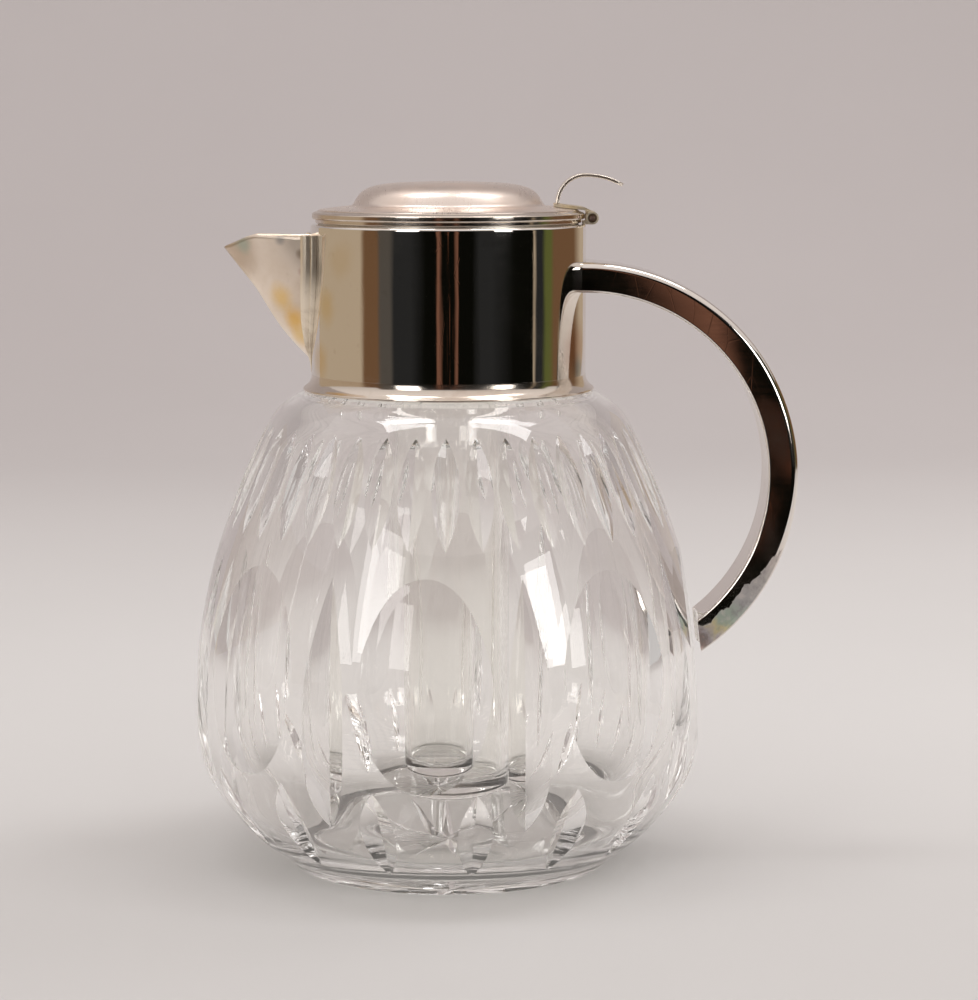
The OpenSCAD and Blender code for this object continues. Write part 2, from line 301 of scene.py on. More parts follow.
# ---------------------------------------------------------------- materials
def silver(name, base=(0.83, 0.79, 0.75), rough=0.07, rough_var=0.06, tarnish=(0.60, 0.48, 0.33),
           tarnish_amount=0.25, tarnish_scale=14.0, scratch=0.02, brush_axis=None, spots=(), stained_bar=False, ring=None):
    """Worn silver plate: fine wipe marks, hairline scratches, patchy warm tarnish."""
    m, nt, b = material(name)
    b.inputs["Metallic"].default_value = 1.0
    vec = coords(nt)
    patches = noise_tex(nt, vec, tarnish_scale, 6.0, 0.6, 0.4)
    mask = map_range(nt, patches, 0.46, 0.74, 0.0, tarnish_amount, smooth=True)
    col = mix(nt, mask, (*base, 1), (*tarnish, 1))
    fine = noise_tex(nt, vec, 220.0, 3.0, 0.6)
    col = mix(nt, map_range(nt, fine, 0.62, 0.8, 0.0, 0.18), col, (0.45, 0.36, 0.26, 1))
    for centre, radius, colour, amount, warp in spots:
        f = spot(nt, centre, radius, 0.85, warp)
        col = mix(nt, math_node(nt, "MULTIPLY", f, amount), col, (*colour, 1))
    dull = None
    if stained_bar:
        # stripped patch on the lower front of the handle, bounded by a ragged line along the bar
        tc = nt.nodes.new("ShaderNodeTexCoord")
        off = nt.nodes.new("ShaderNodeVectorMath")
        off.operation = "SUBTRACT"
        nt.links.new(tc.outputs["Object"], off.inputs[0])
        off.inputs[1].default_value = (49.3 * MM, 0, 143 * MM)
        q = nt.nodes.new("ShaderNodeSeparateXYZ")
        nt.links.new(off.outputs[0], q.inputs[0])
        ang = math_node(nt, "MULTIPLY", math_node(nt, "ARCTAN2", q.outputs[2], q.outputs[0]), 180 / math.pi)
        rad = math_node(nt, "SQRT", math_node(nt, "ADD", math_node(nt, "MULTIPLY", q.outputs[0], q.outputs[0]),
                                              math_node(nt, "MULTIPLY", q.outputs[2], q.outputs[2])))
        rag = math_node(nt, "SUBTRACT", noise_tex(nt, vec, 120.0, 5.0, 0.65, 0.8), 0.5)
        edge = math_node(nt, "SUBTRACT", map_range(nt, ang, -34.0, -20.0, 70.6 * MM, 76.6 * MM), map_range(nt, ang, -54.5, -51.5, 5.0 * MM, 0.0))
        over = math_node(nt, "SUBTRACT", math_node(nt, "ADD", rad, math_node(nt, "MULTIPLY", rag, 6.0 * MM)), edge)
        dull = math_node(nt, "MULTIPLY", map_range(nt, over, -0.15 * MM, 0.25 * MM, 0.0, 1.0),
                         map_range(nt, math_node(nt, "ADD", ang, math_node(nt, "MULTIPLY", rag, 10.0)), -20.5, -19.5, 1.0, 0.0))
        dull = math_node(nt, "MULTIPLY", dull, map_range(nt, q.outputs[1], -13.0 * MM, -12.4 * MM, 0.92, 0.0))
        hue = ramp(nt, map_range(nt, math_node(nt, "ADD", ang, math_node(nt, "MULTIPLY", rag, 14.0)), -64.0, -18.0, 0.0, 1.0),
                   [(0.20, (0.50, 0.38, 0.35)), (0.24, (0.18, 0.11, 0.09)), (0.28, (0.36, 0.32, 0.33)), (0.345, (0.50, 0.43, 0.23)),
                    (0.42, (0.28, 0.35, 0.28)), (0.54, (0.32, 0.31, 0.31)), (1.0, (0.46, 0.40, 0.36))])
        specks = noise_tex(nt, vec, 260.0, 4.0, 0.7)
        hue = mix(nt, map_range(nt, specks, 0.5, 0.66, 0.0, 0.6), hue, (0.16, 0.15, 0.15, 1))
        hue = mix(nt, map_range(nt, specks, 0.44, 0.34, 0.0, 0.5), hue, (0.55, 0.50, 0.46, 1))
        col = mix(nt, dull, col, hue)
        nt.links.new(map_range(nt, dull, 0.0, 1.0, 1.0, 0.35), b.inputs["Metallic"])
    if ring is not None:
        # darker disc of colour on the knuckle round a pin that lies along Y
        cx, cz, r0, r1, colour = ring
        tc = nt.nodes.new("ShaderNodeTexCoord")
        flat = nt.nodes.new("ShaderNodeVectorMath")
        flat.operation = "MULTIPLY"
        nt.links.new(tc.outputs["Object"], flat.inputs[0])
        flat.inputs[1].default_value = (1, 0, 1)
        d = nt.nodes.new("ShaderNodeVectorMath")
        d.operation = "DISTANCE"
        nt.links.new(flat.outputs[0], d.inputs[0])
        d.inputs[1].default_value = (cx * MM, 0, cz * MM)
        f = math_node(nt, "MULTIPLY", map_range(nt, d.outputs["Value"], (r0 - 0.12) * MM, r0 * MM, 0.0, 1.0),
                      map_range(nt, d.outputs["Value"], r1 * MM, (r1 + 0.25) * MM, 1.0, 0.0))
        col = mix(nt, f, col, (*colour, 1))
    nt.links.new(col, b.inputs["Base Color"])
    # wipe marks: streaky roughness
    if brush_axis is None:
        brush_axis = (1, 1, 12)
    streak = noise_tex(nt, coords(nt, brush_axis), 90.0, 5.0, 0.7)
    r = math_node(nt, "ADD", map_range(nt, streak, 0.3, 0.75, rough, rough + rough_var),
                  math_node(nt, "MULTIPLY", mask, 0.35))
    if dull is not None:
        r = math_node(nt, "ADD", r, math_node(nt, "MULTIPLY", dull, 0.42))
    nt.links.new(r, b.inputs["Roughness"])
    hair = nt.nodes.new("ShaderNodeTexVoronoi")
    hair.feature = "DISTANCE_TO_EDGE"
    hair.inputs["Scale"].default_value = 130.0
    nt.links.new(coords(nt, (1.0, 1.0, 0.35)), hair.inputs["Vector"])
    lines = map_range(nt, hair.outputs["Distance"], 0.0, 0.02, 0.0, 1.0)
    wave = noise_tex(nt, coords(nt, (1, 1, 1)), 26.0, 3.0, 0.5)
    h = math_node(nt, "ADD", math_node(nt, "MULTIPLY", lines, 0.15), wave)
    bump(nt, b, h, scratch, 0.0006)
    return m


def glass(name, tint=(1.0, 1.0, 1.0), rough=0.0, shadow=(0.79, 0.785, 0.775)):
    """Clear crystal with faint finger smears; lamps shine through it to what is behind."""
    m, nt, b = material(name)
    b.inputs["Base Color"].default_value = (*tint, 1)
    b.inputs["Transmission Weight"].default_value = 1.0
    b.inputs["IOR"].default_value = 1.54
    vec = coords(nt)
    smear = noise_tex(nt, vec, 30.0, 5.0, 0.6, 0.5)
    nt.links.new(map_range(nt, smear, 0.56, 0.8, rough, rough + 0.03), b.inputs["Roughness"])
    bump(nt, b, noise_tex(nt, vec, 34.0, 2.0, 0.4), 0.015, 0.0004)
    lp = nt.nodes.new("ShaderNodeLightPath")
    tr = nt.nodes.new("ShaderNodeBsdfTransparent")
    tr.inputs[0].default_value = (*shadow, 1)
    mx = nt.nodes.new("ShaderNodeMixShader")
    out = [n for n in nt.nodes if n.type == "OUTPUT_MATERIAL"][0]
    nt.links.new(lp.outputs["Is Shadow Ray"], mx.inputs[0])
    nt.links.new(b.outputs[0], mx.inputs[1])
    nt.links.new(tr.outputs[0], mx.inputs[2])
    nt.links.new(mx.outputs[0], out.inputs[0])
    return m


MAT = {
    "cut_glass": glass("cut_glass", (1.0, 0.995, 0.985)),
    "insert_glass": glass("insert_glass", (0.995, 0.995, 0.98)),
    "collar": silver("collar_silver", (0.88, 0.84, 0.79), 0.02, 0.035, (0.70, 0.58, 0.40), 0.2, 14.0, 0.02, None,
                     [((-43, -25, 206), 9, (0.86, 0.66, 0.30), 0.55, 9), ((-46, -19, 186), 9, (0.84, 0.62, 0.30), 0.6, 8), ((-38, -33, 222), 9, (0.80, 0.66, 0.42), 0.35, 8),
                      ((46, -20, 190), 14, (0.62, 0.42, 0.34), 0.75, 10), ((47, -18, 183), 7, (0.30, 0.36, 0.42), 0.8, 6), ((50, -6, 205), 12, (0.75, 0.62, 0.50), 0.5, 10)]),
    "rim": silver("rim_silver", (0.78, 0.70, 0.62), 0.09, 0.07, (0.46, 0.31, 0.20), 0.6, 26.0),
    "lid": silver("lid_silver", (0.87, 0.77, 0.70), 0.24, 0.12, (0.78, 0.58, 0.46), 0.35, 22.0, 0.05, (12, 1, 1)),
    "spout": silver("spout_silver", (0.93, 0.81, 0.69), 0.26, 0.12, (0.72, 0.58, 0.42), 0.5, 30.0, 0.06, None,
                    [((-56, -10, 199), 9, (0.86, 0.52, 0.12), 0.95, 8), ((-61, -9, 207), 8, (0.90, 0.62, 0.24), 0.85, 8), ((-54, -8, 193), 7, (0.84, 0.58, 0.22), 0.85, 7),
                     ((-77, -4, 223), 13, (0.58, 0.45, 0.33), 0.75, 9), ((-74, -5, 227), 5, (0.46, 0.50, 0.40), 0.8, 6), ((-60, -12, 229), 3, (0.40, 0.38, 0.36), 0.7, 4),
                     ((-53, -15.5, 217), 2.4, (0.55, 0.30, 0.20), 0.8, 4), ((-53, -15.5, 210), 2.4, (0.50, 0.28, 0.18), 0.8, 4), ((-53, -14, 203), 2.0, (0.30, 0.18, 0.10), 0.8, 4),
                     ((-53, -15.5, 224), 2.4, (0.42, 0.30, 0.20), 0.7, 4)]),
    "handle": silver("handle_silver", (0.84, 0.79, 0.74), 0.03, 0.05, (0.62, 0.46, 0.34), 0.35, 18.0, 0.02, None,
                     [((50, -12, 211), 7, (0.20, 0.13, 0.10), 0.7, 6)],
                     True),
    "hinge": silver("hinge_silver", (0.92, 0.84, 0.74), 0.22, 0.12, (0.70, 0.55, 0.38), 0.3, 60.0),
    "leaf": silver("leaf_silver", (0.92, 0.82, 0.64), 0.36, 0.15, (0.52, 0.38, 0.20), 0.6, 90.0, 0.1, None,
                   [((45, -9, 242), 5, (0.80, 0.62, 0.30), 0.6, 6), ((35, -9, 243), 5, (0.84, 0.68, 0.36), 0.6, 6)], False,
                   (51.9, 236.4, 0.0, 1.55, (0.16, 0.11, 0.07))),
    "frame": silver("frame_silver", (0.93, 0.83, 0.68), 0.30, 0.14, (0.34, 0.22, 0.12), 0.75, 70.0, 0.08, (30, 30, 1)),
    "inner": silver("inner_silver", (0.74, 0.70, 0.64), 0.3, 0.15, (0.46, 0.36, 0.26), 0.5, 24.0, 0.08),
}


def matte(name, a, b_, scale=60.0, rough=0.8, strength=0.4):
    m, nt, b = material(name)
    vec = coords(nt)
    n = noise_tex(nt, vec, scale, 6.0, 0.6)
    nt.links.new(ramp(nt, n, [(0.3, a), (0.7, b_)]), b.inputs["Base Color"])
    b.inputs["Roughness"].default_value = rough
    bump(nt, b, n, strength, 0.0005)
    return m


MAT["cement"] = matte("cement", (0.62, 0.58, 0.50), (0.78, 0.74, 0.66))
MAT["pin"] = silver("pin_metal", (0.80, 0.62, 0.54), 0.2, 0.1, (0.5, 0.35, 0.28), 0.4, 90.0)


def finish_piece(obj, mat, body, nodes=()):
    obj.data.materials.clear()
    obj.data.materials.append(MAT[mat])
    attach(obj, body)
    if nodes:
        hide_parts(*nodes)
    return obj


def dress(node, mat):
    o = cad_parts[node]
    if not o.data.materials:
        o.data.materials.append(MAT[mat])
    for s in o.material_slots:
        s.material = MAT[mat]


# ---------------------------------------------------------------- glass body
BODY_OUTER = [(59, 0), (64.5, 5.2), (72, 10.6), (79, 18), (85, 26), (89.5, 34), (92.2, 43),
              (93.4, 55), (93.3, 68), (92.3, 83), (89.5, 98), (85.5, 114), (80, 130),
              (74, 145), (67, 160), (62, 167.6), (55.5, 172.3)]
BODY_INNER = [(48, 9.8), (55, 10.4), (61, 12), (67.5, 15.8), (74, 22), (79.6, 30), (83.6, 39.5), (86, 51), (86.2, 67), (85, 83), (82, 99),
              (77.5, 115), (71.5, 131), (64.8, 147.5), (58.8, 158.5), (52.5, 165.2), (47, 168.7), (43, 171.6), (41, 174.6), (40.5, 178)]


def at_wall(a, r, z, tilt):
    return (Matrix.Rotation(math.radians(a - 90), 4, "Z") @ Matrix.Translation((r, 0, z))
            @ Matrix.Rotation(math.radians(-tilt), 4, "Y"))


def wall_solids(name, parts):
    """One object from several closed solids, each a (matrix, verts, faces)."""
    verts, faces = [], []
    for m, vs, fs in parts:
        base = len(verts)
        verts += [tuple(m @ Vector(v)) for v in vs]
        faces += [tuple(base + i for i in f) for f in fs]
    obj = new_object(name, verts, faces)
    fix_normals(obj)
    return obj


def groove(path, slope, reach):
    """V groove along a path of (out, along) points in the wall's frame."""
    vs, fs = [], []
    w = reach / math.tan(math.radians(slope))
    for x, z in path:
        vs += [(x, 0, z), (x + reach, w, z), (x + reach, -w, z)]
    n = len(path)
    for i in range(n - 1):
        a, b = 3 * i, 3 * i + 3
        fs += [(a, a + 1, b + 1, b), (a + 1, a + 2, b + 2, b + 1), (a + 2, a, b, b + 2)]
    fs += [(0, 2, 1), (3 * n - 3, 3 * n - 2, 3 * n - 1)]
    return vs, fs


def arc_path(depth, radius, half, n=14):
    """Bottom of a cut: depth deep in the middle, curving out (radius > 0) towards its tips."""
    out = []
    for i in range(n + 1):
        s = -half + 2 * half * i / n
        out.append((-depth + s * s / (2 * radius), s))
    return out


def oval_solid(depth, r_across, half_w, half_h, top=14.0, n=26):
    vs, fs = [], []
    for z in (-half_h, half_h):
        for i in range(n + 1):
            y = -half_w + 2 * half_w * i / n
            vs.append((-depth + y * y / (2 * r_across), y, z))
        vs += [(top, half_w, z), (top, -half_w, z)]
    m = n + 3
    for i in range(m):
        j = (i + 1) % m
        fs.append((i, j, m + j, m + i))
    fs += [tuple(range(m))[::-1], tuple(range(m, 2 * m))]
    return vs, fs


def star_solid(z0, depth, reach, rays=16, slope=40.0, turn=4.0):
    """Many-rayed star in a flat face at z0: rays meet deep in the middle."""
    # facet plane through the centre bottom and the ray's tip, sloping up sideways
    fall = depth / reach
    half = math.pi / rays
    side = math.tan(math.radians(slope))
    # at distance r on the mid line between rays the groove is depth - fall r cos(half) - side r sin(half) deep
    r1 = depth / (fall * math.cos(half) + side * math.sin(half))
    vs = [(0, 0, z0 + depth)]
    for k in range(rays):
        a = math.radians(turn) + 2 * half * k
        vs.append((reach * math.cos(a), reach * math.sin(a), z0))
        a += half
        vs.append((r1 * math.cos(a), r1 * math.sin(a), z0))
    m = 2 * rays
    fs = [(0, 1 + i, 1 + (i + 1) % m) for i in range(m)]
    base = len(vs)
    # a shallow skirt below the face closes the solid
    vs += [(x * 1.0, y * 1.0, z0 - 4) for x, y, z in vs[1:]]
    fs += [(1 + i, base + i, base + (i + 1) % m, 1 + (i + 1) % m) for i in range(m)]
    fs.append(tuple(base + i for i in range(m)))
    return [(Matrix.Identity(4), vs, fs)]


def build_glass():
    outer = catmull(BODY_OUTER, 7)
    inner = catmull(BODY_INNER, 5)
    profile = ([(0, 1.6), (20, 1.6), (40, 1.6), (49.2, 1.6), (49.9, 1.35), (50.4, 0.8), (51.0, 0.25), (51.8, 0.0), (57.6, 0.0)]
               + [(58.6, 0.25)] + outer[1:] + [(53.4, 173.3), (51, 174.0), (48, 174.5), (47.0, 174.9), (46.5, 175.8)]
               + [(46.5, 189), (46.2, 189.7), (45.5, 190), (41.5, 190), (40.8, 189.7), (40.5, 189), (40.5, 183)]
               + inner[::-1] + [(40, 9.65), (24, 9.6), (0, 9.6)])
    obj = lathe("glass_body_visual", profile, 240)
    parts_o, parts_m, parts_l, parts_s, parts_t = [], [], [], [], []
    for k in range(8):
        parts_o.append((at_wall(-4.5 + 45 * k, 92.5, 80.6, 6.2), *oval_solid(4.0, 235, 25.5, 41)))
        parts_m.append((at_wall(18 + 45 * k, 93, 73.25, 1.66), *groove(arc_path(5.1, -478, 50, 24), 32, 7.4)))
        for s in (-1, 1):
            parts_l.append((at_wall(-4.5 + s * 11.25 + 45 * k, 84.94, 25.33, -31.4), *groove(arc_path(3.5, 4000, 27, 10), 27, 5)))
    for k in range(40):
        deep = 2.0
        (parts_s if k % 2 else parts_t).append((at_wall(9 * k, 74.1, 144.6, 23.5), *groove(arc_path(deep, 155, 27, 12), 21.5, 3.4)))
    cutters = [wall_solids("ovals", parts_o), wall_solids("mitres", parts_m),
               wall_solids("lower", parts_l), wall_solids("shoulder_a", parts_s), wall_solids("shoulder_b", parts_t),
               wall_solids("star", star_solid(1.6, 2.6, 38))]
    cut(obj, cutters)
    obj.name = "cut_glass_body"
    return obj


def analytic_normals(obj, outer, inner):
    """Faces left of the turned surfaces get the lathe's own normals, so the cuts keep crisp edges."""
    me = obj.data
    curves = []
    for pts, sign in ((outer, 1.0), (inner, -1.0)):
        zs = np.array([p[1] for p in pts]); rs = np.array([p[0] for p in pts])
        tilt = np.arctan2(-np.gradient(rs), np.gradient(zs))
        for _ in range(5):
            tilt[1:-1] = (tilt[:-2] + 2 * tilt[1:-1] + tilt[2:]) / 4
        curves.append((zs, rs, tilt, sign))

    def normal(co, curve):
        zs, rs, tilt, sign = curve
        h = math.hypot(co.x, co.y)
        t = float(np.interp(co.z / MM, zs, tilt))
        return Vector((co.x / h * math.cos(t), co.y / h * math.cos(t), math.sin(t))) * sign

    me.shade_smooth()
    bm = bmesh.new(); bm.from_mesh(me)
    bm.faces.ensure_lookup_table()
    turned = {}
    for f in bm.faces:
        c = f.calc_center_median()
        z, r = c.z / MM, math.hypot(c.x, c.y) / MM
        turned[f.index] = -1
        for i, cv in enumerate(curves):
            if cv[0][0] - 0.02 < z < cv[0][-1] + 0.02 and r > 20 and abs(r - np.interp(z, cv[0], cv[1])) < 0.4:
                if f.normal.dot(normal(c, cv)) > math.cos(math.radians(4.5)):
                    turned[f.index] = i
    for e in bm.edges:
        if len(e.link_faces) == 2:
            a, b = e.link_faces
            e.smooth = turned[a.index] == turned[b.index] and e.calc_face_angle(0) < math.radians(8.5 if turned[a.index] < 0 else 20)
    bm.to_mesh(me); bm.free()
    me.update()
    corner = np.zeros(len(me.loops) * 3)
    me.corner_normals.foreach_get("vector", corner)
    corner = corner.reshape(-1, 3)
    for p in me.polygons:
        i = turned[p.index]
        if i >= 0:
            for li in p.loop_indices:
                corner[li] = normal(me.vertices[me.loops[li].vertex_index].co, curves[i])
    me.normals_split_custom_set([tuple(c) for c in corner])


jug = build_glass()
analytic_normals(jug, catmull(BODY_OUTER, 7), catmull(BODY_INNER, 5))
finish_piece(jug, "cut_glass", "jug", ["glass_body"])

# ---------------------------------------------------------------- ice tube
TB = 22.5
tube_profile = ([(0, TB), (8, TB), (16, TB)]
                + [(18 + 4 * math.sin(t), TB + 4 - 4 * math.cos(t)) for t in [math.radians(10 * k) for k in range(0, 10)]]
                + [(22, 60), (22, 120), (22, 180), (22, 222), (22.0, 226.2), (22.4, 226.95), (23.2, 227.12), (26.2, 227.12), (27.0, 227.5), (27.35, 228.4),
                   (27.35, 229.9), (27.0, 230.8), (26.2, 231.2), (20.5, 231.2), (19.4, 230.9), (18.85, 230.2), (18.8, 228)]
                + [(18.8, 180), (18.8, 120), (18.8, 60), (18.8, TB + 14)]
                + [(13.8 + 5 * math.cos(t), TB + 11.4 - 5 * math.sin(t)) for t in [math.radians(10 * k) for k in range(1, 10)]]
                + [(8, TB + 6.4), (0, TB + 6.4)])
tube = lathe("ice_tube", tube_profile, 128)
smooth_sharp(tube, 35)
finish_piece(tube, "insert_glass", "insert", ["ice_insert"])

# ---------------------------------------------------------------- collar and lid (turned pieces)
collar = lathe("collar_cylinder", rounded([(48.8, 180), (50, 180), (50, 231.05), (48.8, 231.05)], 0.05, 2), 256)
# opening behind the beak
def beak_outline(inset):
    return [(-16.5 + inset, 230), (-15.8 + inset, 219), (-13 + inset, 206), (-8.5 + inset * 0.8, 195),
            (-3.5, 188 + inset), (3.5, 188 + inset), (8.5 - inset * 0.8, 195), (13 - inset, 206),
            (15.8 - inset, 219), (16.5 - inset, 230)]
o = rounded(beak_outline(4), 1.5, 3)
n = len(o)
hole = new_object("hole", [(-60, y, z) for y, z in o] + [(-30, y, z) for y, z in o],
                  [tuple(range(n)), tuple(range(2 * n - 1, n - 1, -1))] + [(i, n + i, n + (i + 1) % n, (i + 1) % n) for i in range(n)])
fix_normals(hole)
cut(collar, [hole])
smooth_sharp(collar, 30)
finish_piece(collar, "collar", "jug", ["collar_shell"])

foot = lathe("collar_foot", catmull([(50.0, 180.6), (50.02, 179.4), (50.25, 178.2), (50.75, 177.0), (51.5, 176.0), (52.3, 175.35), (52.85, 174.95)], 4)[0:]
             + [(53.05, 174.62), (53.02, 174.3), (52.8, 174.08), (52.45, 174.02), (52.0, 174.1), (51.2, 174.45), (49.9, 175.2), (48.85, 176.2), (48.85, 180.6)], 256)
smooth_sharp(foot, 40)
finish_piece(foot, "rim", "jug", ["collar_foot_ring"])

rim = lathe("collar_top_edge", rounded([(48.8, 231.0), (50.0, 231.0), (50.0, 234.1), (47.6, 234.1), (47.6, 232.8), (48.8, 231.8)],
                                       [0, 0, 1.15, 0.4, 0.2, 0.1], 7), 256)
smooth_sharp(rim, 40)
finish_piece(rim, "collar", "jug", ["collar_rim"])

CROWN = [(0, 249.4), (6, 249.35), (12, 249.2), (18, 248.95), (23, 248.5), (27, 247.75), (30, 246.6), (32.1, 245.0), (33.4, 243.2), (34.3, 241.6)]
cover_top = catmull(CROWN, 4) + [(34.7, 241.05), (35.3, 240.72), (36.2, 240.56), (38, 240.42), (41, 240.1), (44, 239.72), (46.6, 239.4), (46.9, 239.25), (47.0, 239.0), (46.95, 238.6), (46.6, 238.5)]
cover_low = [(44, 238.85), (41, 239.2), (37, 239.6), (35.2, 239.8), (34.0, 240.2), (33.3, 241.3), (32.4, 243), (31.2, 244.4), (29.3, 245.8), (26.5, 246.9), (22.7, 247.6), (18, 248.05), (12, 248.3), (6, 248.45), (0, 248.5)]
cover = lathe("lid_cover_sheet", cover_top + cover_low, 256)
smooth_sharp(cover, 40)
finish_piece(cover, "lid", "lid", ["lid_cover"])

lrim = lathe("lid_rim_ring", rounded([(47.02, 239.2), (47.6, 238.72), (48.7, 238.4), (49.4, 237.9), (49.4, 236.0), (48.2, 235.9), (48.2, 234.6), (46, 234.6), (46, 238.3), (47.02, 238.3)],
                                     [0.15, 0.5, 0.5, 0.5, 0.6, 0.05, 0.3, 0.3, 0.1, 0.1], 5), 256)
smooth_sharp(lrim, 40)
finish_piece(lrim, "rim", "lid", ["lid_rim"])


# ---------------------------------------------------------------- handle
def bar(name, outline, a0, a1, steps=160, centre=(49.3, 143)):
    """Sweeps an outline of (radius, across) points round an arc in the XZ plane."""
    vs, fs = [], []
    m = len(outline)
    for i in range(steps + 1):
        a = math.radians(a0 + (a1 - a0) * i / steps)
        for r, y in outline:
            vs.append((centre[0] + r * math.cos(a), y, centre[1] + r * math.sin(a)))
    for i in range(steps):
        for j in range(m):
            k = (j + 1) % m
            fs.append((i * m + j, i * m + k, (i + 1) * m + k, (i + 1) * m + j))
    fs += [tuple(range(m))[::-1], tuple(steps * m + j for j in range(m))]
    obj = new_object(name, vs, fs)
    fix_normals(obj)
    return obj


def rod(name, r0, r1, z0, z1, seg=256):
    return lathe(name, [(0, z0), (r0, z0), (r1, z1), (0, z1)], seg, closed=False)


RI, RO, HW = 66.8, 77.7, 13.5
channel = bar("handle_channel", rounded([(RI, -HW), (RO, -HW), (RO, HW), (RI, HW), (RI, HW - 2.2), (RO - 1.2, HW - 2.2), (RO - 1.2, -HW + 2.2), (RI, -HW + 2.2)],
                                        [1.7, 2.7, 2.7, 1.7, 0.2, 0.9, 0.9, 0.2], 8), -62, 92)
cut(channel, [rod("a", 50.03, 50.03, 150, 250), rod("b", 95.38, 89.25, 60, 112)])
smooth_sharp(channel, 40)
finish_piece(channel, "handle", "jug", ["handle_shell"])
strip = bar("handle_strip", rounded([(RI, -HW + 2.22), (RI + 1, -HW + 2.22), (RI + 1, HW - 2.22), (RI, HW - 2.22)], 0.05, 2), -62, 92)
cut(strip, [rod("a", 50.03, 50.03, 150, 250), rod("b", 95.38, 89.25, 60, 112)])
smooth_sharp(strip, 40)
finish_piece(strip, "handle", "jug", ["handle_inner_strip"])


# ---------------------------------------------------------------- thumb strip
def thumb():
    vs, fs = [], []
    path = [((49.6 + 10.25 * math.cos(a), 241.6 + 10.25 * math.sin(a)), a) for a in [math.radians(180 - 3 * k) for k in range(31)]]
    path += [((49.6 + 26.9 * math.cos(a), 224.95 + 26.9 * math.sin(a)), a) for a in [math.radians(90 - 1.5 * k) for k in range(1, 21)]]
    sec = rounded([(-0.8, -6.5), (0.45, -6.5), (0.45, 6.5), (-0.8, 6.5)], 0.35, 3)
    m = len(sec)
    total = len(path)
    for i, ((x, z), a) in enumerate(path):
        t = i / (total - 1)
        w = 1.0 - 0.06 * math.sin(math.pi * t)
        w *= math.sqrt(max(0.0, 1 - max(0.0, (t - 0.9) / 0.1) ** 3 * 0.5))
        for d, y in sec:
            vs.append((x + d * math.cos(a), y * w, z + d * math.sin(a)))
    for i in range(total - 1):
        for j in range(m):
            k = (j + 1) % m
            fs.append((i * m + j, i * m + k, (i + 1) * m + k, (i + 1) * m + j))
    fs += [tuple(range(m))[::-1], tuple((total - 1) * m + j for j in range(m))]
    obj = new_object("thumb_strip", vs, fs)
    fix_normals(obj)
    return obj


th = thumb()
smooth_sharp(th, 40)
finish_piece(th, "hinge", "lid", ["thumbpiece"])


# ---------------------------------------------------------------- beak
def beak():
    """Two cheeks ruled between the root on the collar and the keel, with a rounded keel."""
    root = [(0.0, 186.0), (3.2, 187.6), (6.6, 191.2), (9.6, 196.2), (12.2, 202.6), (14.2, 210.0), (15.6, 218.0), (16.3, 225.0), (16.6, 230.2)]
    root = catmull(root, 4)
    n = len(root) - 1
    keel = []
    for i in range(n + 1):
        s = i / n
        # bottom curve then straight to the tip
        x = -50.2 - 30.5 * s
        z = 186.0 + 40.7 * s ** 1.0
        x -= 2.3 * math.sin(math.pi * min(1.0, s * 1.6)) * (1 - s)
        keel.append((x, z))
    vs, fs = [], []
    M = 28
    for i in range(n + 1):
        s = i / n
        y, z = root[i]
        R = 50.06
        xr = -math.sqrt(R * R - y * y)
        kx, kz = keel[i]
        for j in range(-M, M + 1):
            t = j / M
            soft = 0.05
            g = (math.sqrt(t * t + soft * soft) - soft) / (math.sqrt(1 + soft * soft) - soft)
            px = kx + (xr - kx) * g
            pz = kz + (z - kz) * g
            py = y * t
            bulge = 1.6 * s * math.sin(math.pi * min(1.0, abs(t)))
            py += math.copysign(bulge, t) if t else 0
            # the top edge rises fast from the tip, then runs nearly level to the collar
            lift = float(np.interp(g, [0, 0.10, 0.21, 0.32, 0.54, 0.81, 1], [-0.4, 0.65, 1.9, 2.6, 1.5, 0.25, -0.2]))
            u = max(0.0, (s - 0.6) / 0.4)
            vs.append((px, py, pz + lift * u * u * (3 - 2 * u)))
    W = 2 * M + 1
    for i in range(n):
        for j in range(2 * M):
            a = i * W + j
            if i == 0:
                pass
            fs.append((a, a + 1, a + W + 1, a + W))
    obj = new_object("beak_sheet", vs, fs)
    bm = bmesh.new(); bm.from_mesh(obj.data)
    bmesh.ops.remove_doubles(bm, verts=bm.verts, dist=2e-5)
    bmesh.ops.dissolve_degenerate(bm, edges=bm.edges, dist=1e-6)
    bmesh.ops.recalc_face_normals(bm, faces=bm.faces)
    bm.to_mesh(obj.data); bm.free()
    return obj


bk = beak()
mod = bk.modifiers.new("thick", "SOLIDIFY")
mod.thickness = 0.9 * MM
mod.offset = -1.0
mod.use_even_offset = True
bk.data.shade_smooth()
finish_piece(bk, "spout", "jug", ["spout_shell"])


